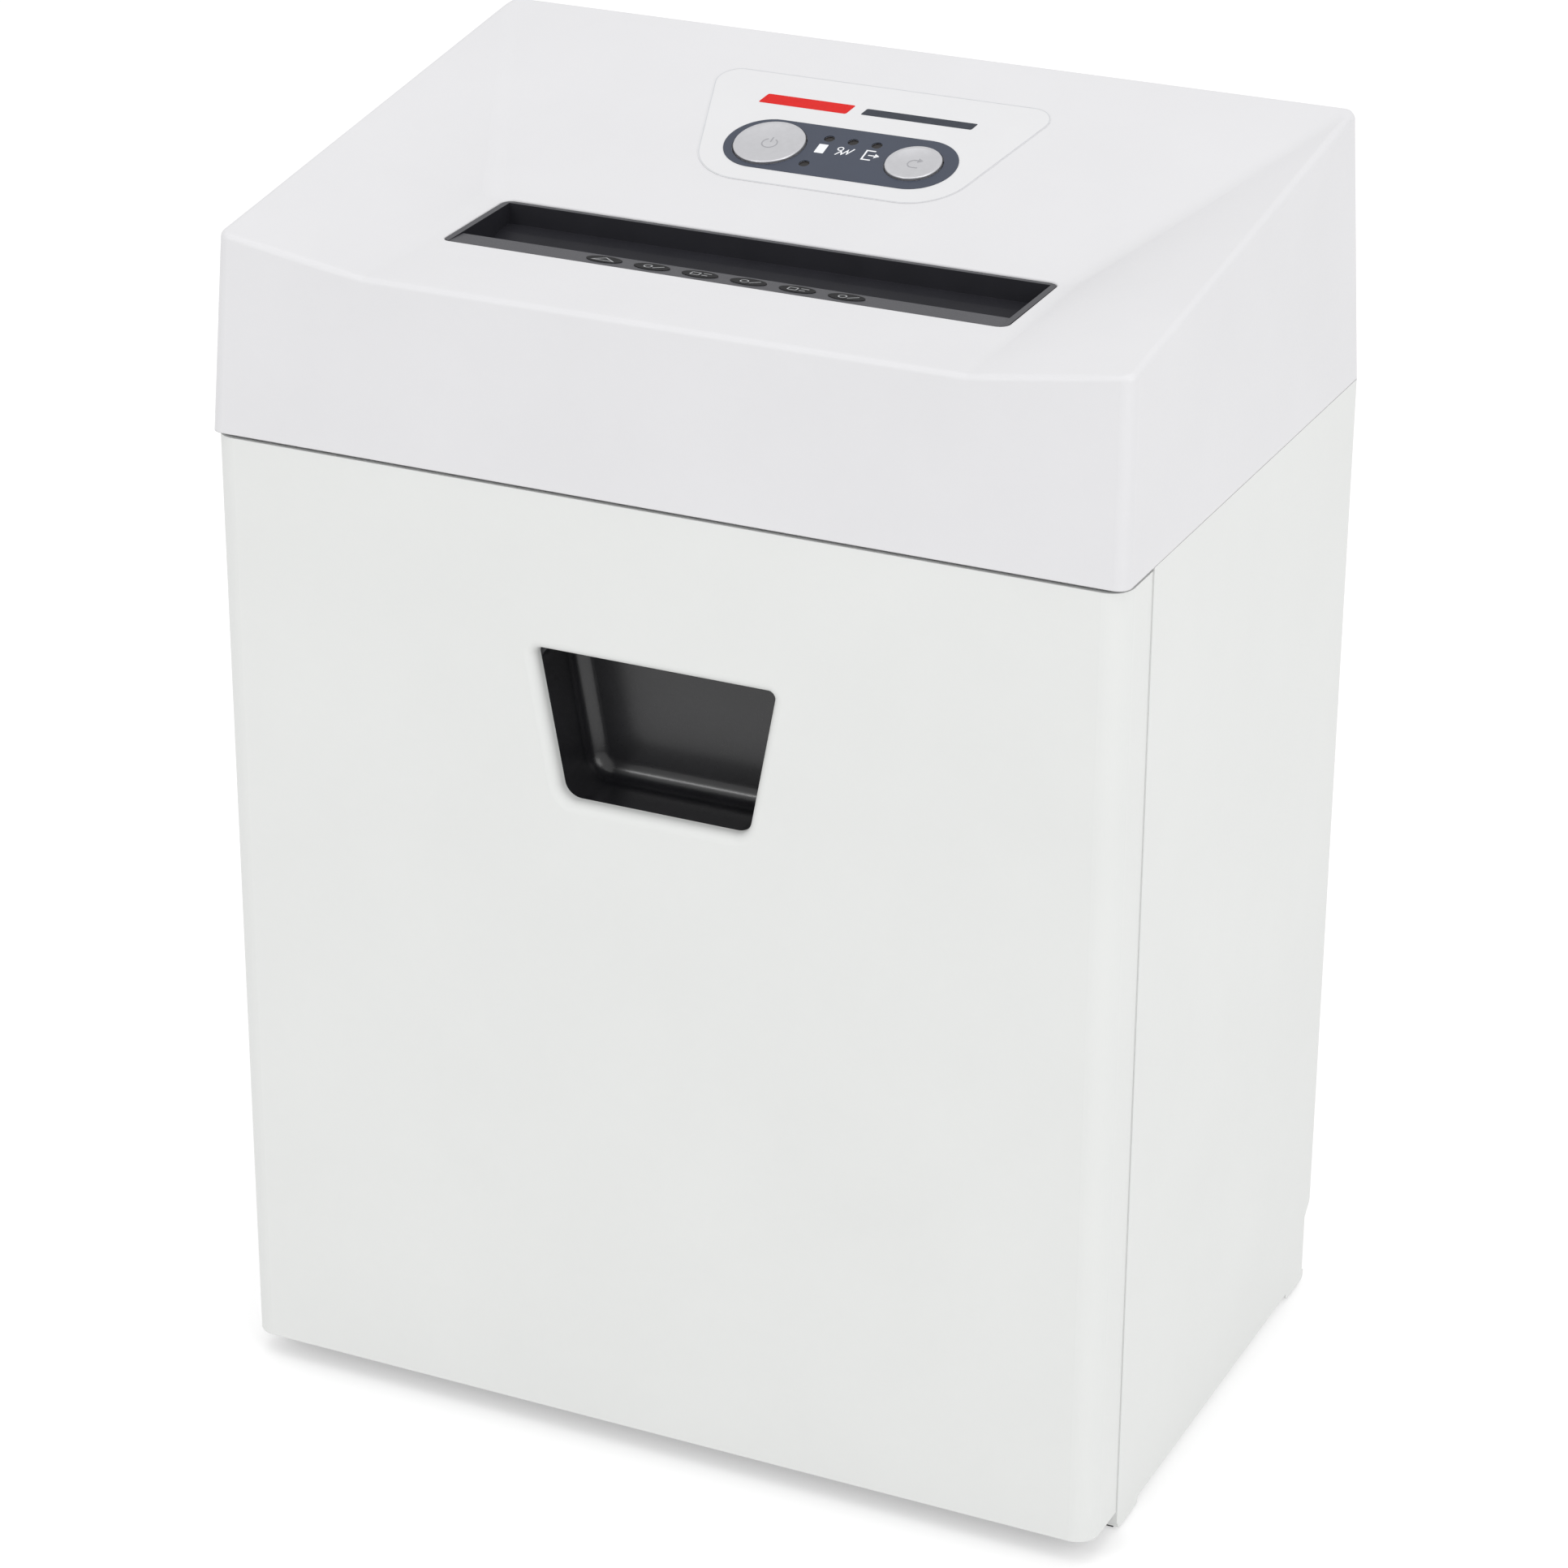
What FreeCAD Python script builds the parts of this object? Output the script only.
import FreeCAD, Part
import math
import os
import re
from types import SimpleNamespace

import Sketcher

# Deskside paper shredder.  Millimetres, +Z up, the front faces -Y and the origin is
# the middle of the footprint on the floor.

doc = FreeCAD.newDocument("PaperShredder")
V = FreeCAD.Vector
X_AXIS = V(1, 0, 0)
Y_AXIS = V(0, 1, 0)
Z_AXIS = V(0, 0, 1)

# ---------------------------------------------------------------- driving dimensions

DIMENSIONS = {
    # whole machine
    "width": 366.0,
    "depth": 246.0,
    "seam": 398.0,              # height of the joint between head and cabinet
    "shell": 3.0,               # moulded wall thickness
    "gap": 0.3,                 # clearance between neighbouring mouldings
    # head cover: a valley with the feed slot in it
    "strip_front": 465.5,       # height of the flat strip at the front wall
    "strip_back": 467.5,        # height of the strip at the back of the slot
    "front_corner": 474.0,      # height of the front top corners
    "ridge": 507.0,             # height of the rear top edge
    "fold": 119.0,              # half distance between the two fold lines
    "side_draft": 0.033,
    "wall_draft": 0.09,
    "head_corner": 5.0,
    "head_edge": 2.5,
    "fold_radius": 16.0,        # soft rounding along the folds of the valley
    "boss_radius": 5.0,
    "screw_hole": 2.0,
    "vent_count": 12.0,
    "vent_pitch": 9.0,
    "vent_left": -120.0,
    "inlet_across": 25.0,       # middle of the power inlet in the rear wall
    "inlet_height": 424.0,
    "slot_front": -68.0,
    "slot_back": -17.0,
    "slot_half": 113.3,
    "slot_corner": 4.0,
    "slot_round": 0.8,
    "lip_drop": 1.4,            # lip below the strip's back height, at the front of the slot
    "lip_fall": 0.4,            # further fall to the lip's inner edge
    "lip_width": 11.7,
    "lip_pad_pitch": 19.5,
    # cabinet
    "cabinet_front": -96.0,
    "cabinet_bottom": 4.5,
    "floor_top": 9.0,
    "foot_bottom": 1.5,
    "ledge_width": 8.0,
    "ledge_depth": 4.0,
    "step_top": 34.0,
    "step_depth": 7.0,
    "step_corner": 3.0,
    "foot_size": 22.0,
    "foot_round": 2.5,
    # bin
    "bin_recess": 0.5,
    "bin_bottom": 10.0,
    "bin_top": 396.5,
    "bin_corner": 9.0,
    "wrap_gap": 0.08,           # the closed bin front nearly touches the cabinet
    "tub_half": 170.0,
    "tub_back": 108.0,
    "tub_bottom": 12.0,
    "tub_top": 385.0,
    "tub_wall": 2.5,
    "window_top": 334.5,
    "window_bottom": 275.0,
    "window_top_half": 49.0,
    "window_bottom_half": 38.0,
    "window_low_corner": 7.0,
    "window_high_corner": 2.5,
    "window_round": 4.0,
    "collar": 3.0,              # extra thickness of the front round the window
    "collar_width": 4.0,
    "cup_margin": 1.5,
    "cup_wall": 2.0,
    "cup_depth": 27.0,
    "cup_corner": 10.0,
    "cup_round": 7.0,           # between the cup's walls and its back
    # cutting unit
    "tray_thick": 4.0,
    "plate_inner": 117.0,
    "plate_thick": 3.0,
    "nip": -46.75,
    "cutter_height": 434.0,
    "core_radius": 12.5,
    "disc_radius": 20.75,
    "disc_thick": 3.8,
    "disc_pitch": 8.0,
    "journal_radius": 8.0,
    "bush_radius": 9.5,
    "running_fit": 0.05,
    "rod_radius": 4.0,
    "screw_radius": 4.0,        # heads of all the screws
    "screw_head": 2.4,
    "plate_front": -98.0,       # the side plates' outline
    "plate_back": 106.0,
    "plate_low": 461.0,         # top edge below the slot
    "plate_high": 472.0,        # top edge at the back
    # gear train
    "coarse": 1.5,              # module of the cutter gears
    "fine": 1.0,                # module of the fast stages
    "sync_teeth": 26.0,
    "drive_teeth": 34.0,
    "wheel_teeth": 48.0,
    "fast_teeth": 44.0,
    "pinion_teeth": 12.0,
    "pressure_angle": 25.0,
    "backlash": 0.2,
    "sync_width": 8.0,
    "drive_width": 10.0,
    "wheel_width": 6.5,
    "fast_width": 6.0,
    "gear_cover_left": -153.0,
    "gear_cover_front": -60.0,
    "gear_cover_back": 80.0,
    "gear_cover_low": 463.0,
    "gear_cover_high": 468.0,
    "gear_cover_wall": 1.8,
    # motor
    "motor_radius": 32.0,
    "motor_left": -114.0,
    "motor_right": -8.0,
    "motor_shaft": 3.0,
    # control panel, measured up the rear slope from the slot
    "label_top": 106.5,
    "label_bottom": 33.5,
    "label_top_half": 73.0,
    "label_bottom_half": 50.5,
    "label_low_corner": 24.0,
    "label_high_corner": 9.0,
    "label_thick": 0.2,
    "inlay_height": 59.0,
    "inlay_half": 47.5,
    "inlay_radius": 16.5,
    "inlay_thick": 0.4,
    "power_place": -29.5,
    "power_radius": 14.0,
    "reverse_place": 30.3,
    "reverse_radius": 11.0,
    "lens_radius": 2.0,
    "lens_sink": 0.5,
    "button_gap": 0.5,
    "board_top": -12.4,         # below the panel's face
    "board_thick": 1.6,
}

sheet = doc.addObject("Spreadsheet::Sheet", "Size")
for row, (alias, amount) in enumerate(DIMENSIONS.items(), start=1):
    sheet.set(f"A{row}", alias)
    sheet.set(f"B{row}", str(amount))
    sheet.setAlias(f"B{row}", alias)
doc.recompute()
d = SimpleNamespace(**{alias: float(getattr(sheet, alias)) for alias in DIMENSIONS})


def bound(rule):
    """Write a rule over the sheet's names as a FreeCAD expression."""
    def linked(word):
        return f"Size.{word[0]}" if word[0] in DIMENSIONS else word[0]

    return re.sub(r"[a-z_]+", linked, str(rule))


# ---------------------------------------------------------------- primitives

def block(label, x, y, z):
    """A box between pairs of rules along X, Y and Z."""
    item = doc.addObject("Part::Box", label)
    for size, (low, high) in zip(("Length", "Width", "Height"), (x, y, z)):
        item.setExpression(size, bound(f"({high}) - ({low})"))
    for axis, (low, high) in zip("xyz", (x, y, z)):
        item.setExpression(f"Placement.Base.{axis}", bound(low))
    return item


def rod(label, radius, length, base, direction=X_AXIS):
    """A cylinder from a base point (three rules) along a direction."""
    item = doc.addObject("Part::Cylinder", label)
    item.setExpression("Radius", bound(radius))
    item.setExpression("Height", bound(length))
    item.Placement = FreeCAD.Placement(V(), FreeCAD.Rotation(Z_AXIS, direction))
    for axis, place in zip("xyz", base):
        item.setExpression(f"Placement.Base.{axis}", bound(place))
    return item


def fuse(label, pieces):
    item = doc.addObject("Part::MultiFuse", label)
    item.Shapes = pieces
    return item


def cut(label, base, tools):
    item = doc.addObject("Part::Cut", label)
    item.Base = base
    item.Tool = tools[0] if len(tools) == 1 else fuse(f"{label}_tools", tools)
    return item


def group(label, pieces):
    """Several separate solids kept as one sub-part."""
    item = doc.addObject("Part::Compound", label)
    item.Links = pieces
    return item


def solid_feature(label, shape, placement=FreeCAD.Placement()):
    item = doc.addObject("Part::Feature", label)
    item.Shape = shape
    item.Placement = placement
    return item


# ---------------------------------------------------------------- bodies and sketches

def new_body(label):
    body = doc.addObject("PartDesign::Body", label)
    body.Label = label
    return body


def sketch_on(body, plane, offset, name):
    """A sketch on one of the body's origin planes, moved along its normal by a rule."""
    sketch = body.newObject("Sketcher::SketchObject", name)
    sketch.AttachmentSupport = [(next(f for f in body.Origin.OriginFeatures if f.Role == plane), "")]
    sketch.MapMode = "FlatFace"
    sketch.setExpression("AttachmentOffset.Base.z", bound(offset))
    return sketch


def polygon(sketch, corners):
    """A closed outline whose corners are pairs of rules."""
    values = [tuple(rule_value(rule) for rule in corner) for corner in corners]
    count = len(corners)
    for start, end in zip(values, values[1:] + values[:1]):
        sketch.addGeometry(Part.LineSegment(V(*start, 0), V(*end, 0)))
    for index in range(count):
        sketch.addConstraint(Sketcher.Constraint("Coincident", index, 2, (index + 1) % count, 1))
    for index, corner in enumerate(corners):
        for kind, rule, number in zip(("DistanceX", "DistanceY"), corner, values[index]):
            place = sketch.addConstraint(Sketcher.Constraint(kind, -1, 1, index, 1, number))
            sketch.setExpression(f"Constraints[{place}]", bound(rule))


def circle(sketch, radius, centre=("0", "0")):
    values = [rule_value(rule) for rule in centre]
    index = sketch.addGeometry(Part.Circle(V(*values, 0), Z_AXIS, rule_value(radius)))
    place = sketch.addConstraint(Sketcher.Constraint("Radius", index, rule_value(radius)))
    sketch.setExpression(f"Constraints[{place}]", bound(radius))
    for kind, rule, number in zip(("DistanceX", "DistanceY"), centre, values):
        place = sketch.addConstraint(Sketcher.Constraint(kind, -1, 1, index, 3, number))
        sketch.setExpression(f"Constraints[{place}]", bound(rule))


def rule_value(rule):
    """The value of a rule, worked out by the sheet's own expression engine."""
    scratch.setExpression("Radius", bound(f"{ALWAYS_POSITIVE} + ({rule})"))
    scratch.recompute()
    return scratch.Radius.Value - ALWAYS_POSITIVE


# A radius can't be negative, so a rule's value is raised by this while it is worked out.
ALWAYS_POSITIVE = 1000000
scratch = doc.addObject("Part::Sphere", "scratch")


def extrude(body, kind, sketch, length, reverse=False, both=False):
    feature = body.newObject(f"PartDesign::{kind}", f"{sketch.Label}_{kind.lower()}")
    feature.Profile = sketch
    feature.setExpression("Length", bound(length))
    feature.Reversed = reverse
    feature.Midplane = both
    before = body.Shape.Volume if kind == "Pocket" else 0
    doc.recompute()
    if kind == "Pocket" and feature.Shape.Volume >= before - 1:
        raise RuntimeError(f"{body.Label}: {sketch.Label} cuts nothing")
    return feature


def pad_block(body, name, x, y, z):
    sketch = sketch_on(body, "XY_Plane", z[0], name)
    polygon(sketch, [(x[0], y[0]), (x[1], y[0]), (x[1], y[1]), (x[0], y[1])])
    return extrude(body, "Pad", sketch, f"({z[1]}) - ({z[0]})")


def pocket_block(body, name, x, y, z):
    sketch = sketch_on(body, "XY_Plane", z[1], name)
    polygon(sketch, [(x[0], y[0]), (x[1], y[0]), (x[1], y[1]), (x[0], y[1])])
    return extrude(body, "Pocket", sketch, f"({z[1]}) - ({z[0]})")


def dress(body, kind, size, test):
    """Round or bevel the edges of the body's tip whose middle point passes a test."""
    base = body.Tip
    names = [f"Edge{i + 1}" for i, edge in enumerate(base.Shape.Edges) if test(edge)]
    if not names:
        raise RuntimeError(f"{body.Label}: no edge to dress")
    feature = body.newObject(f"PartDesign::{kind}", f"{body.Label}_{kind.lower()}")
    feature.Base = (base, names)
    feature.setExpression("Radius" if kind == "Fillet" else "Size", bound(size))
    doc.recompute()
    return feature


def middle(edge):
    return edge.valueAt((edge.FirstParameter + edge.LastParameter) / 2)


def runs_along(edge, axis):
    tangent = edge.tangentAt((edge.FirstParameter + edge.LastParameter) / 2)
    return abs(tangent.dot(axis)) > 0.999


def pattern(body, feature, axis, length, count):
    item = body.newObject("PartDesign::LinearPattern", f"{feature.Label}_row")
    item.Originals = [feature]
    item.Direction = (next(f for f in body.Origin.OriginFeatures if f.Role == axis), [""])
    item.setExpression("Length", bound(length))
    item.Occurrences = count
    body.Tip = item
    doc.recompute()
    return item


# ---------------------------------------------------------------- head cover

def wall_front(z, inset=0.0):
    return -d.depth / 2 + d.wall_draft * (z - d.seam) + inset


def wall_rear(z, inset=0.0):
    return -wall_front(z, inset)


def wall_side(z, inset=0.0):
    return d.width / 2 - d.side_draft * (z - d.seam) - inset


def head_form(inset, bottom):
    """The valley-shaped head as a solid, every face moved inwards by an inset."""
    strip_front = d.strip_front - inset
    strip_back = d.strip_back - inset
    corner = d.front_corner - inset
    ridge = d.ridge - inset
    point = {}
    for side in (-1, 1):
        point["fold_front", side] = V(side * d.fold, wall_front(strip_front, inset), strip_front)
        point["fold_back", side] = V(side * d.fold, d.slot_back, strip_back)
        point["corner", side] = V(side * wall_side(corner, inset), wall_front(corner, inset), corner)
        point["ridge", side] = V(side * wall_side(ridge, inset), wall_rear(ridge, inset), ridge)
        point["foot_front", side] = V(side * wall_side(bottom, inset), wall_front(bottom, inset), bottom)
        point["foot_back", side] = V(side * wall_side(bottom, inset), wall_rear(bottom, inset), bottom)

    def face(*corners):
        outline = [point[corner] for corner in corners]
        return Part.Face(Part.makePolygon(outline + outline[:1]))

    left, right = -1, 1
    faces = [
        face(("foot_front", left), ("foot_front", right), ("foot_back", right), ("foot_back", left)),
        face(("foot_front", left), ("foot_front", right), ("corner", right),
             ("fold_front", right), ("fold_front", left), ("corner", left)),
        face(("foot_back", left), ("foot_back", right), ("ridge", right), ("ridge", left)),
        face(("fold_front", left), ("fold_front", right), ("fold_back", right), ("fold_back", left)),
        face(("fold_back", left), ("fold_back", right), ("ridge", right), ("ridge", left)),
    ]
    for side in (left, right):
        faces.append(face(("foot_front", side), ("corner", side), ("ridge", side), ("foot_back", side)))
        fold_line = Part.makeLine(point["fold_front", side], point["fold_back", side])
        rim_line = Part.makeLine(point["corner", side], point["ridge", side])
        faces.append(Part.makeRuledSurface(fold_line, rim_line))
    shell = Part.makeShell(faces)
    shell.sewShape()
    room = Part.makeBox(2 * d.width, 2 * d.depth, d.ridge, V(-d.width, -d.depth, 0))
    return Part.makeSolid(shell).common(room).Solids[0].removeSplitter()


def is_upright(edge):
    """Whether an edge is one of the four leaning edges between the outside walls."""
    box = edge.BoundBox
    return box.ZLength > 60 and box.XLength < 6 and box.YLength < 12


def is_rim(edge):
    """Whether an edge runs between the top faces and the outside walls."""
    if edge.BoundBox.ZMin < d.strip_front - 1 or edge.Length < 10:
        return False
    place = middle(edge)
    on_side = abs(place.x) > d.width / 2 - 6
    return on_side or place.y < wall_front(d.strip_front) + 2 or place.y > wall_rear(d.ridge) - 2


def edge_radius(edge):
    """How far an edge of the head's outside is rounded; 0 where it stays sharp."""
    if is_upright(edge):
        return d.head_corner
    if is_rim(edge):
        return d.head_edge
    is_fold = middle(edge).z > d.seam + 1
    return d.fold_radius if is_fold else 0


slope = math.atan2(d.ridge - d.strip_back, wall_rear(d.ridge) - d.slot_back)
panel = FreeCAD.Placement(V(0, d.slot_back, d.strip_back), FreeCAD.Rotation(X_AXIS, math.degrees(slope)))

# Places of the four small lenses on the panel: across, up the slope.
LENSES = [(-8.2, 67.5), (1.7, 67.5), (11.6, 67.5), (-10.8, 49.5)]
COVER_SCREWS = [(-160.0, -100.0), (160.0, -100.0), (-160.0, 100.0), (160.0, 100.0)]

inlet_frame = FreeCAD.Placement(
    V(d.inlet_across, wall_rear(d.inlet_height), d.inlet_height),
    FreeCAD.Rotation(X_AXIS, math.degrees(math.atan(d.wall_draft))))


def rounded_slot(half_x, y_low, y_high, z_low, height, radius):
    """An upright prism with rounded corners, centred on X = 0."""
    prism = Part.makeBox(2 * half_x, y_high - y_low, height, V(-half_x, y_low, z_low))
    return prism.makeFillet(radius, [edge for edge in prism.Edges if edge.BoundBox.ZLength > height / 2])


def cover_bosses():
    """Posts inside the cover that take the screws from the tray."""
    bosses = []
    for x, y in COVER_SCREWS:
        post = Part.makeCylinder(d.boss_radius, d.ridge - d.seam, V(x, y, d.seam + d.tray_thick))
        bosses.append(post.common(head_form(1, d.seam - 8)))
    return bosses


def cover_openings():
    """Everything that is cut out of the cover's wall."""
    tools = [rounded_slot(d.slot_half, d.slot_front, d.slot_back, d.seam + 20, 80, d.slot_corner)]
    holes = [(d.power_place, d.inlay_height, d.power_radius + d.button_gap),
             (d.reverse_place, d.inlay_height, d.reverse_radius + d.button_gap)]
    holes += [(x, up, d.lens_radius + 0.4) for x, up in LENSES]
    for x, up, radius in holes:
        drill = Part.makeCylinder(radius, 20, V(x, up, -10))
        drill.Placement = panel.multiply(drill.Placement)
        tools.append(drill)
    socket = Part.makeBox(28, 12, 21, V(-14, -6, -10.5))
    socket.Placement = inlet_frame.multiply(socket.Placement)
    tools.append(socket)
    for index in range(int(d.vent_count)):
        vent = rounded_slot(1.6, 100, 130, 418, 36, 1)
        vent.translate(V(d.vent_left + index * d.vent_pitch, 0, 0))
        tools.append(vent)
    tools += [Part.makeCylinder(d.screw_hole, 16, V(x, y, d.seam)) for x, y in COVER_SCREWS]
    return tools


def on_slot_front(edge):
    """Whether an edge is the slot's front top one; a round there runs on all round the slot."""
    place = middle(edge)
    return runs_along(edge, X_AXIS) and abs(place.y - d.slot_front) < 0.01 and place.z > d.strip_front


def make_head_cover():
    form = solid_feature("head_outside", head_form(0, d.seam))
    outside = doc.addObject("Part::Fillet", "head_rounded")
    outside.Base = form
    radii = [(index + 1, edge_radius(edge)) for index, edge in enumerate(form.Shape.Edges)]
    outside.Edges = [(index, radius, radius) for index, radius in radii if radius]
    doc.recompute()
    shape = outside.Shape.cut(head_form(d.shell, d.seam - 8))
    shape = shape.fuse(cover_bosses()).cut(cover_openings()).removeSplitter()
    front_edge = [edge for edge in shape.Edges if on_slot_front(edge)]
    return solid_feature("head_cover", shape.makeFillet(d.slot_round, front_edge))


# ---------------------------------------------------------------- feed chute

def make_feed_chute():
    """The black funnel in the slot: a nearly flat front lip, then a throat down to the cutters."""
    body = new_body("feed_chute")
    front = "slot_front + gap"
    back = "slot_back - gap"
    outer = sketch_on(body, "YZ_Plane", "0", "chute_outside")
    polygon(outer, [
        (front, "strip_back - 1.3"), (back, "strip_back - 0.5"), (back, "strip_back - 10.5"),
        ("slot_back - 10", "strip_back - 11.3"), ("slot_back - 19", "strip_back - 13.9"),
        ("nip + 6", "strip_back - 17"), ("nip - 6.2", "strip_back - 17"), ("nip - 11", "strip_back - 5"),
        (front, "strip_back - 4.5")])
    extrude(body, "Pad", outer, "2 * (slot_half - gap)", both=True)
    inner = sketch_on(body, "YZ_Plane", "0", "chute_inside")
    polygon(inner, [
        ("slot_front - 1", "strip_back + 5"), ("slot_front - 1", "strip_back - lip_drop"),
        (front, "strip_back - lip_drop"), (f"{front} + lip_width", "strip_back - lip_drop - lip_fall"),
        ("nip - 4", "strip_back - 15.5"), ("nip - 4", "strip_back - 20"), ("nip + 4", "strip_back - 20"),
        ("nip + 4", "strip_back - 15.5"), ("slot_back - 19.8", "strip_back - 11.7"),
        ("slot_back - 10.2", "strip_back - 9.2"), ("slot_back - 3.2", "strip_back - 8.4"),
        ("slot_back - 1.7", "strip_back + 5")])
    extrude(body, "Pocket", inner, "2 * (slot_half - gap - 2.5)", both=True)
    dress(body, "Fillet", "slot_corner - gap",
          lambda edge: runs_along(edge, Z_AXIS) and abs(middle(edge).x) > d.slot_half - 1)
    return body


def make_slot_pads():
    """Six small oval pads on the chute's front lip."""
    thickness = 0.25
    half_depth = 3.6
    clearance = 0.02
    fall = math.atan2(d.lip_fall, d.lip_width)
    back_from_edge = d.gap + d.lip_width / 2 + 0.5
    height = d.strip_back - d.lip_drop - back_from_edge * math.tan(fall) + clearance
    pads = []
    for index in range(6):
        pad = Part.makeCylinder(half_depth, thickness)
        stretch = FreeCAD.Matrix()
        stretch.scale(2.0, 1.0, 1.0)
        pad = pad.transformGeometry(stretch)
        place = V((index - 2.5) * d.lip_pad_pitch, d.slot_front + back_from_edge, height)
        pad.Placement = FreeCAD.Placement(place, FreeCAD.Rotation(X_AXIS, -math.degrees(fall)))
        pads.append(pad)
    return solid_feature("slot_pads", Part.makeCompound(pads))


# ---------------------------------------------------------------- control panel

def make_control_label():
    body = new_body("control_label")
    outline = sketch_on(body, "XY_Plane", "0", "label_outline")
    polygon(outline, [
        ("-label_bottom_half", "label_bottom"), ("label_bottom_half", "label_bottom"),
        ("label_top_half", "label_top"), ("-label_top_half", "label_top")])
    extrude(body, "Pad", outline, "label_thick")

    def is_corner(edge, low):
        return runs_along(edge, Z_AXIS) and (middle(edge).y < (d.label_bottom + d.label_top) / 2) == low

    dress(body, "Fillet", "label_low_corner", lambda edge: is_corner(edge, True))
    dress(body, "Fillet", "label_high_corner", lambda edge: is_corner(edge, False))
    window = sketch_on(body, "XY_Plane", "label_thick", "label_window")
    polygon(window, [
        ("-inlay_half", "inlay_height - inlay_radius"), ("inlay_half", "inlay_height - inlay_radius"),
        ("inlay_half", "inlay_height + inlay_radius"), ("-inlay_half", "inlay_height + inlay_radius")])
    extrude(body, "Pocket", window, "label_thick")
    dress(body, "Fillet", "inlay_radius - 0.01",
          lambda edge: runs_along(edge, Z_AXIS) and abs(abs(middle(edge).x) - d.inlay_half) < 0.1
          and abs(abs(middle(edge).y - d.inlay_height) - d.inlay_radius) < 0.1)
    body.Placement = panel
    return body


def make_control_inlay():
    body = new_body("control_inlay")
    outline = sketch_on(body, "XY_Plane", "0", "inlay_outline")
    polygon(outline, [
        ("-inlay_half", "inlay_height - inlay_radius"), ("inlay_half", "inlay_height - inlay_radius"),
        ("inlay_half", "inlay_height + inlay_radius"), ("-inlay_half", "inlay_height + inlay_radius")])
    extrude(body, "Pad", outline, "inlay_thick")
    dress(body, "Fillet", "inlay_radius - 0.01", lambda edge: runs_along(edge, Z_AXIS))
    holes = sketch_on(body, "XY_Plane", "inlay_thick", "inlay_holes")
    circle(holes, "power_radius + button_gap", ("power_place", "inlay_height"))
    circle(holes, "reverse_radius + button_gap", ("reverse_place", "inlay_height"))
    for across, up in LENSES:
        circle(holes, "lens_radius + 0.1", (str(across), str(up)))
    extrude(body, "Pocket", holes, "inlay_thick")
    body.Placement = panel
    return body


def make_button(label, place, radius):
    """A dished cap with a retaining flange under the cover and a stem to its switch."""
    rim = 1.4
    dish = 0.8
    inside = radius - 1.6
    ball = (inside * inside + dish * dish) / (2 * dish)
    cap = Part.makeCylinder(radius, rim + 3.0, V(0, 0, -3.0))
    cap = cap.makeFillet(0.5, [edge for edge in cap.Edges if edge.BoundBox.ZMin > rim - 0.1])
    flange = Part.makeCylinder(radius + 1.8, 1.3, V(0, 0, -4.3))
    stem = Part.makeCylinder(2.5, 2.2, V(0, 0, -6.5))
    bowl = Part.makeSphere(ball, V(0, 0, rim - dish + ball))
    shape = cap.fuse([flange, stem]).cut(bowl).removeSplitter()
    placement = panel.multiply(FreeCAD.Placement(V(place, d.inlay_height, 0), FreeCAD.Rotation()))
    return solid_feature(label, shape, placement)


def make_led_lenses():
    """Four light pins from the board up to a little below the inlay's face."""
    length = d.inlay_thick - d.lens_sink - d.board_top
    lenses = [Part.makeCylinder(d.lens_radius, length, V(across, up, d.board_top)) for across, up in LENSES]
    return solid_feature("led_lenses", Part.makeCompound(lenses), panel)


def make_control_board():
    board = Part.makeBox(112, 52, d.board_thick, V(-56, d.inlay_height - 25, d.board_top - d.board_thick))
    return solid_feature("control_board", board, panel)


def make_push_switches():
    side = 6
    height = 3.5
    switches = []
    for place in (d.power_place, d.reverse_place):
        case = Part.makeBox(side, side, height, V(place - side / 2, d.inlay_height - side / 2, d.board_top))
        plunger = Part.makeCylinder(1.7, 1.2, V(place, d.inlay_height, d.board_top + height))
        switches.append(case.fuse(plunger))
    return solid_feature("push_switches", Part.makeCompound(switches), panel)


# ---------------------------------------------------------------- cabinet

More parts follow.
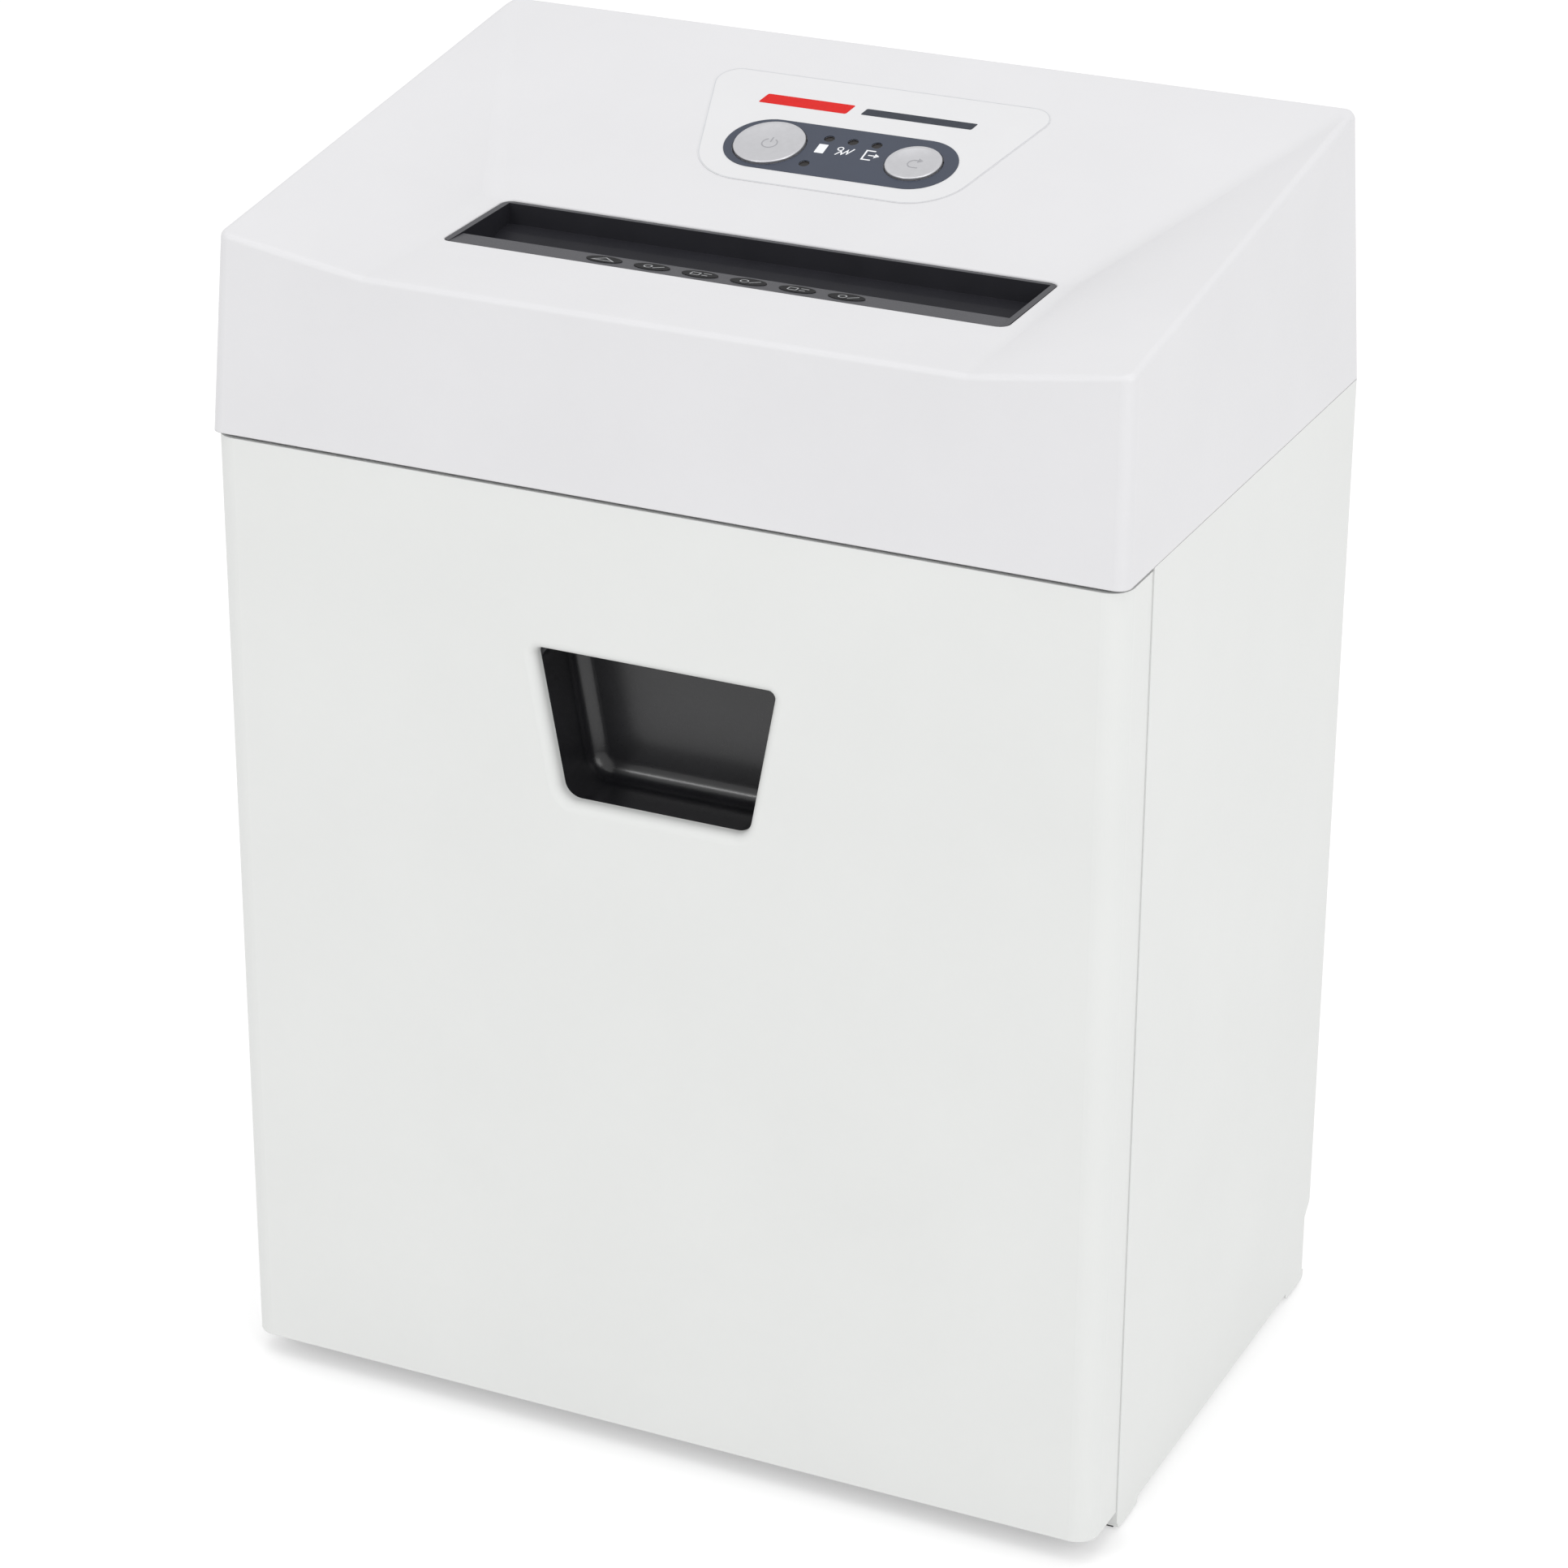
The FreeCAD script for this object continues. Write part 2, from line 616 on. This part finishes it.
def make_cabinet():
    body = new_body("cabinet")
    side = "width / 2"
    back = "depth / 2"
    pad_block(body, "cabinet_block", (f"-{side}", side), ("cabinet_front", back),
              ("cabinet_bottom", "seam - 0.2"))
    dress(body, "Fillet", "head_corner", lambda edge: runs_along(edge, Z_AXIS) and middle(edge).y > 0)
    inner = f"{side} - shell"
    ledge = f"{inner} - ledge_width"
    low_back = f"{back} - shell - step_depth"
    pocket_block(body, "cabinet_room", (f"-({inner})", inner), ("cabinet_front - 5", low_back),
                 ("floor_top", "seam - ledge_depth"))
    pocket_block(body, "cabinet_rear_room", (f"-({inner})", inner), (f"{low_back} - 0.5", f"{back} - shell"),
                 ("step_top + step_depth + shell", "seam - ledge_depth"))
    pocket_block(body, "cabinet_mouth", (f"-({ledge})", ledge),
                 ("cabinet_front - 5", f"{back} - shell - ledge_width"), ("seam - ledge_depth - 1", "seam"))
    step = sketch_on(body, "YZ_Plane", "0", "cabinet_step")
    polygon(step, [
        (f"{back} - step_depth", "0"), (f"{back} - step_depth", "step_top"),
        (f"{back} + 1", "step_top + step_depth + 1"), (f"{back} + 1", "0")])
    extrude(body, "Pocket", step, "width + 2", both=True)
    dress(body, "Fillet", "step_corner",
          lambda edge: runs_along(edge, Z_AXIS) and abs(middle(edge).y - (d.depth / 2 - d.step_depth)) < 0.01)
    for name, y_range in (("front_feet", ("cabinet_front + 1", "cabinet_front + foot_size")),
                          ("rear_feet", (f"{back} - step_depth - foot_size", f"{back} - step_depth - 1"))):
        for hand, x_range in (("left", (f"-{side}", f"-{side} + foot_size")),
                              ("right", (f"{side} - foot_size", side))):
            pad_block(body, f"{name}_{hand}", x_range, y_range, ("foot_bottom", "cabinet_bottom + 1"))
    dress(body, "Fillet", "foot_round",
          lambda edge: runs_along(edge, X_AXIS) and abs(middle(edge).z - d.foot_bottom) < 0.01)
    return body


def make_foot_pads():
    pads = []
    for hand, sign in (("left", "-1"), ("right", "1")):
        centre = f"{sign} * (width / 2 - foot_size / 2)"
        for name, low in (("front", "cabinet_front + 4"), ("rear", "depth / 2 - step_depth - 18")):
            pads.append(block(f"pad_{name}_{hand}", (f"{centre} - 8", f"{centre} + 8"), (low, f"{low} + 14"),
                              ("0", "foot_bottom")))
    return group("foot_pads", pads)


def make_bin_rails():
    """Two slippery strips on the cabinet's floor that carry the bin."""
    rails = []
    for hand, sign in (("left", "-1"), ("right", "1")):
        centre = f"{sign} * 120"
        rails.append(block(f"rail_{hand}", (f"{centre} - 6", f"{centre} + 6"),
                           ("cabinet_front + 2", "tub_back - 2"), ("floor_top", "tub_bottom - 0.2")))
    return group("bin_rails", rails)


# ---------------------------------------------------------------- bin

def window_outline(margin):
    """The trapezoid of the window, grown by a margin: pairs of rules across and up."""
    low = f"window_bottom - ({margin})"
    high = f"window_top + ({margin})"
    return [(f"-window_bottom_half - ({margin})", low), (f"window_bottom_half + ({margin})", low),
            (f"window_top_half + ({margin})", high), (f"-window_top_half - ({margin})", high)]


def is_low(edge):
    return middle(edge).z < (d.window_top + d.window_bottom) / 2


def near_window(edge, reach):
    """Whether an edge's middle lies within the window's trapezoid grown by a reach."""
    place = middle(edge)
    share = (place.z - d.window_bottom) / (d.window_top - d.window_bottom)
    half = d.window_bottom_half + share * (d.window_top_half - d.window_bottom_half)
    return abs(place.x) < half + reach and d.window_bottom - reach < place.z < d.window_top + reach


def panel_back():
    """Y of the inner face of the bin's front panel."""
    return -d.depth / 2 + d.bin_recess + d.shell


def cup_front():
    return panel_back() + d.collar


def make_bin_front():
    body = new_body("bin_front")
    side = "width / 2 - bin_recess"
    front = "-depth / 2 + bin_recess"
    pad_block(body, "front_block", (f"-({side})", side), (front, "cabinet_front - wrap_gap"),
              ("bin_bottom", "bin_top"))
    dress(body, "Fillet", "bin_corner",
          lambda edge: runs_along(edge, Z_AXIS) and middle(edge).y < d.cabinet_front - 10)
    pocket_block(body, "front_room", (f"-({side} - shell)", f"{side} - shell"),
                 (f"{front} + shell", "cabinet_front + 5"), ("bin_bottom - 1", "bin_top + 1"))
    dress(body, "Fillet", "bin_corner - shell",
          lambda edge: runs_along(edge, Z_AXIS) and abs(middle(edge).y - panel_back()) < 0.01)
    collar = sketch_on(body, "XZ_Plane", f"-({front} + shell)", "front_collar")
    polygon(collar, window_outline("collar_width"))
    extrude(body, "Pad", collar, "collar", reverse=True)
    window = sketch_on(body, "XZ_Plane", f"-({front}) + 5", "front_window")
    polygon(window, window_outline("0"))
    extrude(body, "Pocket", window, "shell + collar + 10")
    dress(body, "Fillet", "window_low_corner",
          lambda edge: runs_along(edge, Y_AXIS) and near_window(edge, 1) and is_low(edge))
    dress(body, "Fillet", "window_high_corner",
          lambda edge: runs_along(edge, Y_AXIS) and near_window(edge, 1) and not is_low(edge))
    dress(body, "Fillet", "window_round",
          lambda edge: edge.BoundBox.YMax < panel_back() - d.shell + 0.01 and near_window(edge, 1))
    return body


def make_bin_tub():
    body = new_body("bin_tub")
    front = "-depth / 2 + bin_recess + shell"
    pad_block(body, "tub_block", ("-tub_half", "tub_half"), (front, "tub_back"), ("tub_bottom", "tub_top"))
    dress(body, "Fillet", "6", lambda edge: runs_along(edge, Z_AXIS) and middle(edge).y > 0)
    dress(body, "Fillet", "4",
          lambda edge: middle(edge).z < d.tub_bottom + 1 and middle(edge).y > d.cabinet_front)
    pocket_block(body, "tub_room", ("-tub_half + tub_wall", "tub_half - tub_wall"),
                 (f"{front} + tub_wall", "tub_back - tub_wall"), ("tub_bottom + tub_wall", "tub_top + 1"))
    hole = sketch_on(body, "XZ_Plane", f"-({front}) + 2", "tub_hole")
    polygon(hole, window_outline("collar_width + gap"))
    extrude(body, "Pocket", hole, "tub_wall + 4")
    for hand, x_range in (("left", ("-tub_half - 5", "-tub_half + 1")),
                          ("right", ("tub_half - 1", "tub_half + 5"))):
        pad_block(body, f"rim_{hand}", x_range, (f"{front} + 2", "tub_back - 12"),
                  ("tub_top - tub_wall", "tub_top"))
    return body


def make_grip_cup():
    """The black cup behind the window, a pocket for the hand that pulls the bin out."""
    body = new_body("grip_cup")
    front = "-depth / 2 + bin_recess + shell + collar"
    outer = sketch_on(body, "XZ_Plane", f"-({front})", "cup_outside")
    polygon(outer, window_outline("cup_margin + cup_wall"))
    extrude(body, "Pad", outer, "cup_depth + cup_wall", reverse=True)
    inner = sketch_on(body, "XZ_Plane", f"-({front})", "cup_inside")
    polygon(inner, window_outline("cup_margin"))
    extrude(body, "Pocket", inner, "cup_depth")

    def on_inner_wall(edge):
        return near_window(edge, d.cup_margin + d.cup_wall / 2)

    dress(body, "Fillet", "cup_corner", lambda edge: runs_along(edge, Y_AXIS) and on_inner_wall(edge))
    dress(body, "Fillet", "cup_round", lambda edge: abs(middle(edge).y - (cup_front() + d.cup_depth)) < 0.05
          and edge.BoundBox.YLength < 0.1 and on_inner_wall(edge))
    return body


def make_bin_magnet():
    return block("bin_magnet", ("-8", "8"), ("tub_back", "tub_back + 3"), ("tub_top - 14", "tub_top - 4"))


def make_bin_screws():
    inside = panel_back() + d.tub_wall
    heads = [Part.makeCylinder(d.screw_radius, d.screw_head, V(x, inside, z), Y_AXIS)
             for x in (-120, 120) for z in (60, 350)]
    return solid_feature("bin_screws", Part.makeCompound(heads))


# ---------------------------------------------------------------- chassis and cutters

PLATE_BOTTOM = "seam - 0.2 + tray_thick"


def make_head_base():
    """The tray that closes the head from below and carries the cutting unit."""
    body = new_body("head_base")
    side = "width / 2 - shell - 0.6"
    end = "depth / 2 - shell - 0.6"
    pad_block(body, "base_block", (f"-({side})", side), (f"-({end})", end), ("seam - 0.2", PLATE_BOTTOM))
    dress(body, "Fillet", "4", lambda edge: runs_along(edge, Z_AXIS))
    pocket_block(body, "base_outlet", ("-plate_inner + 2", "plate_inner - 2"), ("nip - 40", "nip + 38"),
                 ("seam - 2", "seam + 10"))
    holes = sketch_on(body, "XY_Plane", "seam + 10", "base_holes")
    for x, y in COVER_SCREWS:
        circle(holes, "screw_hole + 0.2", (str(x), str(y)))
    extrude(body, "Pocket", holes, "20")
    return body


TIE_RODS = [(-92.0, 408.0), (-92.0, 455.0), (8.0, 408.0), (8.0, 458.0)]    # back, up
front_axis = d.nip - d.coarse * d.sync_teeth / 2
rear_axis = d.nip + d.coarse * d.sync_teeth / 2


def away(start, distance, degrees):
    angle = math.radians(degrees)
    return (start[0] + distance * math.cos(angle), start[1] + distance * math.sin(angle))


# Axes of the gear train in the YZ plane, from the cutter to the motor.
DRIVE_ANGLE = 6.0
WHEEL_ANGLE = 10.0
MOTOR_ANGLE = -14.0
drive_centre = (rear_axis, d.cutter_height)
second_centre = away(drive_centre, d.coarse * (d.drive_teeth + d.pinion_teeth) / 2, DRIVE_ANGLE)
first_centre = away(second_centre, d.fine * (d.wheel_teeth + d.pinion_teeth) / 2, WHEEL_ANGLE)
motor_centre = away(first_centre, d.fine * (d.fast_teeth + d.pinion_teeth) / 2, MOTOR_ANGLE)

def make_side_plate(label, hand):
    """A steel plate whose top follows the cover: low below the slot and higher at the back."""
    body = new_body(label)
    low = "plate_inner" if hand > 0 else "-plate_inner - plate_thick"
    outline = sketch_on(body, "YZ_Plane", low, f"{label}_outline")
    polygon(outline, [
        ("plate_front", PLATE_BOTTOM), ("plate_back", PLATE_BOTTOM), ("plate_back", "plate_high"),
        ("30", "plate_high"), ("16", "plate_low"), ("plate_front + 8", "plate_low"),
        ("plate_front", "plate_low - 9")])
    extrude(body, "Pad", outline, "plate_thick")
    holes = sketch_on(body, "YZ_Plane", f"{low} + plate_thick", f"{label}_holes")
    circle(holes, "bush_radius", (str(front_axis), "cutter_height"))
    circle(holes, "bush_radius", (str(rear_axis), "cutter_height"))
    circle(holes, "8", (str(motor_centre[0]), str(motor_centre[1])))
    extrude(body, "Pocket", holes, "plate_thick")
    return body


def make_tie_rods():
    rods = [rod(f"tie_rod_{index + 1}", "rod_radius", "2 * plate_inner", ("-plate_inner", str(y), str(z)))
            for index, (y, z) in enumerate(TIE_RODS)]
    return group("tie_rods", rods)


def make_chassis_screws():
    screws = []
    for index, (y, z) in enumerate(TIE_RODS):
        for hand in (-1, 1):
            x = "plate_inner + plate_thick" if hand > 0 else "-plate_inner - plate_thick - screw_head"
            screws.append(rod(f"chassis_screw_{index}_{'right' if hand > 0 else 'left'}",
                              "screw_radius", "screw_head", (x, str(y), str(z))))
    return group("chassis_screws", screws)


def make_bushes():
    bushes = []
    for x in (-d.plate_inner - d.plate_thick, d.plate_inner):
        for y in (front_axis, rear_axis):
            base = V(x, y, d.cutter_height)
            outer = Part.makeCylinder(d.bush_radius, d.plate_thick, base, X_AXIS)
            bore = Part.makeCylinder(d.journal_radius + d.running_fit, d.plate_thick, base, X_AXIS)
            bushes.append(outer.cut(bore))
    return solid_feature("cutter_bushes", Part.makeCompound(bushes))


def make_cutter(label, axis_y, first_disc, discs, left_end, right_end):
    """A one-piece cutting roller: core, journals and a row of cutting discs."""
    body = new_body(label)
    core = sketch_on(body, "YZ_Plane", "-plate_inner + 0.4", f"{label}_core")
    circle(core, "core_radius")
    extrude(body, "Pad", core, "2 * plate_inner - 0.8")
    shaft = sketch_on(body, "YZ_Plane", str(-left_end), f"{label}_shaft")
    circle(shaft, "journal_radius")
    extrude(body, "Pad", shaft, str(left_end + right_end))
    disc = sketch_on(body, "YZ_Plane", f"{first_disc} - disc_thick / 2", f"{label}_disc")
    circle(disc, "disc_radius")
    blade = extrude(body, "Pad", disc, "disc_thick")
    pattern(body, blade, "X_Axis", f"{discs - 1} * disc_pitch", discs)
    body.Placement = FreeCAD.Placement(V(0, axis_y, d.cutter_height), FreeCAD.Rotation())
    return body


def make_stripper(label, bar, finger, first_finger, fingers):
    """A comb whose fingers reach between the cutting discs."""
    body = new_body(label)
    pad_block(body, f"{label}_bar", ("-plate_inner", "plate_inner"), bar, ("416", "450"))
    tooth = pad_block(body, f"{label}_finger", (f"{first_finger} - 1.6", f"{first_finger} + 1.6"), finger,
                      ("424", "444"))
    pattern(body, tooth, "X_Axis", f"{fingers - 1} * disc_pitch", fingers)
    return body


# ---------------------------------------------------------------- gears

def smooth_curve(points):
    curve = Part.BSplineCurve()
    curve.interpolate(points)
    return curve.toShape()


def gear_shape(teeth, module, width, bore):
    """A spur gear about the X axis, a tooth centred on +Y, its left face at x = 0."""
    angle = math.radians(d.pressure_angle)
    pitch = module * teeth / 2
    base = pitch * math.cos(angle)
    tip = pitch + 0.8 * module
    root = pitch - 1.1 * module
    half_tooth = math.pi / (2 * teeth) - d.backlash / (4 * pitch)
    swept = math.tan(angle) - angle

    def flank(radius):
        """Angle from the tooth's middle to its flank at a radius."""
        if radius <= base:
            return half_tooth + swept
        roll = math.acos(base / radius)
        return half_tooth + swept - (math.tan(roll) - roll)

    def at(radius, turn):
        return V(0, radius * math.cos(turn), radius * math.sin(turn))

    start = max(base, root)
    radii = [start + (tip - start) * step / 4 for step in range(5)]
    edges = []
    for tooth in range(int(teeth)):
        here = 2 * math.pi * tooth / teeth
        following = 2 * math.pi * (tooth + 1) / teeth
        rising = [at(radius, here - flank(radius)) for radius in radii]
        falling = [at(radius, here + flank(radius)) for radius in reversed(radii)]
        tooth_start = at(root, here - flank(root))
        valley_start = at(root, here + flank(root))
        valley_end = at(root, following - flank(root))
        if root < start:
            edges.append(Part.LineSegment(tooth_start, rising[0]).toShape())
        edges.append(smooth_curve(rising))
        edges.append(Part.Arc(rising[-1], at(tip, here), falling[0]).toShape())
        edges.append(smooth_curve(falling))
        if root < start:
            edges.append(Part.LineSegment(falling[-1], valley_start).toShape())
        edges.append(Part.Arc(valley_start, at(root, (here + following) / 2), valley_end).toShape())
    face = Part.Face(Part.Wire(edges))
    gear = face.extrude(V(width, 0, 0))
    return gear.cut(Part.makeCylinder(bore, width + 2, V(-1, 0, 0), X_AXIS))


def mesh_turn(own_turn, own_teeth, direction, other_teeth):
    """Turn of a gear, in degrees, so that it meshes with a neighbour's known turn.

    direction is the angle from the known gear's axis to the new one's."""
    phase = (direction - own_turn) * own_teeth / 360
    return direction + 180 - (0.5 - phase) * 360 / other_teeth


def gear_node(label, shape, degrees, x, centre):
    placement = FreeCAD.Placement(V(x, *centre), FreeCAD.Rotation(X_AXIS, degrees))
    return solid_feature(label, shape, placement)


# Left faces of the gears along X, and the turns that bring their teeth into mesh.
SYNC_X = 124.0
DRIVE_X = -133.0
WHEEL_X = -141.0
FAST_X = -149.0
SECOND_PIN_RADIUS = 4.0
FIRST_PIN_RADIUS = 3.0
drive_turn = 0.0
second_turn = mesh_turn(drive_turn, d.drive_teeth, DRIVE_ANGLE, d.pinion_teeth)
first_turn = mesh_turn(second_turn, d.wheel_teeth, WHEEL_ANGLE, d.pinion_teeth)
motor_turn = mesh_turn(first_turn, d.fast_teeth, MOTOR_ANGLE, d.pinion_teeth)


def make_sync_gears():
    front = gear_shape(d.sync_teeth, d.coarse, d.sync_width, d.journal_radius)
    rear_turn = mesh_turn(0.0, d.sync_teeth, 0.0, d.sync_teeth)
    return [gear_node("front_sync_gear", front, 0.0, SYNC_X, (front_axis, d.cutter_height)),
            gear_node("rear_sync_gear", front.copy(), rear_turn, SYNC_X, (rear_axis, d.cutter_height))]


def make_drive_gear():
    gear = gear_shape(d.drive_teeth, d.coarse, d.drive_width, d.journal_radius)
    return gear_node("drive_gear", gear, drive_turn, DRIVE_X, drive_centre)


def make_second_gear():
    """Compound gear: coarse pinion for the cutter, fine wheel towards the motor."""
    bore = SECOND_PIN_RADIUS + d.running_fit
    pinion = gear_shape(d.pinion_teeth, d.coarse, d.drive_width + 3, bore)
    pinion.translate(V(d.wheel_width, 0, 0))
    wheel = gear_shape(d.wheel_teeth, d.fine, d.wheel_width, bore)
    return gear_node("second_reduction_gear", wheel.fuse(pinion), second_turn, WHEEL_X, second_centre)


def make_first_gear():
    """Compound gear: fine pinion for the second gear, wheel driven by the motor."""
    bore = FIRST_PIN_RADIUS + d.running_fit
    wheel = gear_shape(d.fast_teeth, d.fine, d.fast_width, bore)
    pinion = gear_shape(d.pinion_teeth, d.fine, d.wheel_width + 3, bore)
    pinion.translate(V(d.fast_width, 0, 0))
    hub_start = d.fast_width + d.wheel_width + 3
    hub = Part.makeCylinder(5.5, 28 - hub_start, V(hub_start, 0, 0), X_AXIS)
    hub = hub.cut(Part.makeCylinder(bore, 30, V(), X_AXIS))
    return gear_node("first_reduction_gear", wheel.fuse([pinion, hub]), first_turn, FAST_X, first_centre)


def make_gear_pins():
    """Fixed pins between the left plate and the gear cover for the two compound gears."""
    pins = []
    for name, radius, centre in (("second_pin", SECOND_PIN_RADIUS, second_centre),
                                 ("first_pin", FIRST_PIN_RADIUS, first_centre)):
        base = ("gear_cover_left + 2", str(centre[0]), str(centre[1]))
        pins.append(rod(name, radius, "-plate_inner - plate_thick - gear_cover_left - 2", base))
    return group("gear_pins", pins)


def make_gear_cover():
    """A cup over the gear train, open towards the plate and the tray."""
    body = new_body("gear_cover")
    front = "gear_cover_front"
    back = "gear_cover_back"
    low = "gear_cover_low"
    high = "gear_cover_high"
    wall = "gear_cover_wall"
    outside = sketch_on(body, "YZ_Plane", "gear_cover_left", "gear_cover_outside")
    polygon(outside, [
        (front, PLATE_BOTTOM), (back, PLATE_BOTTOM), (back, high), ("12", high), ("-6", low), (front, low)])
    extrude(body, "Pad", outside, "-plate_inner - plate_thick - gear_cover_left")
    inside = sketch_on(body, "YZ_Plane", "-plate_inner - plate_thick", "gear_cover_inside")
    polygon(inside, [
        (f"{front} + {wall}", "seam"), (f"{back} - {wall}", "seam"), (f"{back} - {wall}", f"{high} - {wall}"),
        ("12.4", f"{high} - {wall}"), ("-5.6", f"{low} - {wall}"), (f"{front} + {wall}", f"{low} - {wall}")])
    extrude(body, "Pocket", inside, "-plate_inner - plate_thick - gear_cover_left - 2")
    return body


# ---------------------------------------------------------------- motor and supply

def motor_rod(label, radius, left, right):
    return rod(label, radius, f"({right}) - ({left})", (left, str(motor_centre[0]), str(motor_centre[1])))


def make_motor_can():
    outside = motor_rod("can_outside", "motor_radius", "motor_left", "motor_right")
    inside = motor_rod("can_inside", "motor_radius - 2.5", "motor_left + 3", "motor_right - 3")
    bore = motor_rod("can_bore", "motor_shaft + running_fit", "motor_left - 5", "motor_right + 5")
    return cut("motor_can", outside, [inside, bore])


def make_motor_stator():
    outside = motor_rod("stator_outside", "motor_radius - 2.5", "motor_left + 16", "motor_right - 24")
    inside = motor_rod("stator_inside", "motor_radius - 13", "motor_left + 10", "motor_right - 20")
    return cut("motor_stator", outside, [inside])


def make_motor_rotor():
    core = motor_rod("rotor_core", "motor_radius - 13.6", "motor_left + 18", "motor_right - 26")
    shaft = motor_rod("rotor_shaft", "motor_shaft", str(FAST_X - 1), "motor_right + 20")
    return fuse("motor_rotor", [core, shaft])


def make_motor_pinion():
    pinion = gear_shape(d.pinion_teeth, d.fine, 7, d.motor_shaft)
    return gear_node("motor_pinion", pinion, motor_turn, FAST_X - 0.5, motor_centre)


def make_cooling_fan():
    count = 9
    twist = 35
    hub_length = 10
    hub = Part.makeCylinder(8, hub_length, V(), X_AXIS)
    blades = []
    for index in range(count):
        blade = Part.makeBox(1.4, 9, 20, V(-0.7, -4.5, 7))
        blade.rotate(V(), Z_AXIS, twist)
        blade.translate(V(hub_length / 2, 0, 0))
        blade.rotate(V(), X_AXIS, 360 / count * index)
        blades.append(blade)
    fan = hub.fuse(blades).cut(Part.makeCylinder(d.motor_shaft, 30, V(-5, 0, 0), X_AXIS))
    placement = FreeCAD.Placement(V(d.motor_right + 6, motor_centre[0], motor_centre[1]), FreeCAD.Rotation())
    return solid_feature("cooling_fan", fan.removeSplitter(), placement)


def make_motor_cradle():
    """The saddle under the motor."""
    half = 24
    saddle = block("cradle_block", ("motor_left + 30", "motor_right - 30"),
                   (f"{motor_centre[0]} - {half}", f"{motor_centre[0]} + {half}"), (PLATE_BOTTOM, "426"))
    seat = motor_rod("cradle_seat", "motor_radius", "motor_left", "motor_right")
    return cut("motor_cradle", saddle, [seat])


def make_run_capacitor():
    radius = 14
    return rod("run_capacitor", radius, "56", ("50", "92", f"{PLATE_BOTTOM} + {radius}"))


def inlet_box(width, height, inner, outer):
    """A block centred on the inlet's axis, between two depths along it."""
    return Part.makeBox(width, outer - inner, height, V(-width / 2, inner, -height / 2))


def make_power_inlet():
    """A standard three-pin appliance inlet in the rear wall."""
    flange = inlet_box(50, 26, 0, 1)
    case = inlet_box(27.4, 20.4, -22, 0)
    well = inlet_box(24, 16, -17, 3)
    return solid_feature("power_inlet", flange.fuse(case).cut(well).removeSplitter(), inlet_frame)


def make_inlet_pins():
    pins = []
    for x, z in ((-7, -1.5), (0, 2.5), (7, -1.5)):
        pin = inlet_box(2, 4, -17, -6)
        pin.translate(V(x, 0, z))
        pins.append(pin)
    return solid_feature("inlet_pins", Part.makeCompound(pins), inlet_frame)


def make_paper_sensor():
    return block("paper_sensor", ("-7", "7"), ("-4.5", "1.5"), ("450", "456"))


def make_bin_sensor():
    return block("bin_sensor", ("-10", "10"), ("97", "109"), ("seam - 7", "seam - 0.2"))


def make_cover_screws():
    screws = []
    for x, y in COVER_SCREWS:
        head = Part.makeCylinder(d.screw_radius, d.screw_head, V(x, y, d.seam - 0.2 - d.screw_head))
        shank = Part.makeCylinder(d.screw_hole, 16, V(x, y, d.seam - 0.2))
        screws.append(head.fuse(shank))
    return solid_feature("cover_screws", Part.makeCompound(screws))


# ---------------------------------------------------------------- all sub-parts

SUBPARTS = [
    make_head_cover(), make_feed_chute(), make_slot_pads(), make_control_label(), make_control_inlay(),
    make_button("power_button", d.power_place, d.power_radius),
    make_button("reverse_button", d.reverse_place, d.reverse_radius),
    make_led_lenses(), make_control_board(), make_push_switches(),
    make_cabinet(), make_foot_pads(), make_bin_rails(),
    make_bin_front(), make_bin_tub(), make_grip_cup(), make_bin_magnet(), make_bin_screws(),
    make_head_base(), make_side_plate("left_side_plate", -1), make_side_plate("right_side_plate", 1),
    make_tie_rods(), make_chassis_screws(), make_bushes(),
    make_cutter("front_cutter", front_axis, -112, 29, 120, 133),
    make_cutter("rear_cutter", rear_axis, -108, 28, 134, 133),
    make_stripper("front_stripper", ("-95", "-89"), ("-89.5", "-80.5"), -108, 28),
    make_stripper("rear_stripper", ("-4.5", "1.5"), ("-13", "-4"), -104, 27),
    *make_sync_gears(), make_drive_gear(), make_second_gear(), make_first_gear(), make_gear_pins(),
    make_gear_cover(), make_motor_can(), make_motor_stator(), make_motor_rotor(), make_motor_pinion(),
    make_cooling_fan(), make_motor_cradle(), make_run_capacitor(), make_power_inlet(), make_inlet_pins(),
    make_paper_sensor(), make_bin_sensor(), make_cover_screws(),
]

doc.removeObject(scratch.Name)
doc.recompute()

for item in doc.Objects:
    if "Invalid" in item.State or "Error" in item.State:
        raise RuntimeError(f"{item.Label} failed: {item.State}")
for item in SUBPARTS:
    if item.Shape.isNull() or not item.Shape.isValid() or item.Shape.Volume <= 0:
        raise RuntimeError(f"{item.Label} has no valid shape")

os.makedirs("parts", exist_ok=True)
for item in SUBPARTS:
    item.Shape.exportStep(f"parts/{item.Label}.step")
print(len(SUBPARTS), "sub-parts written")
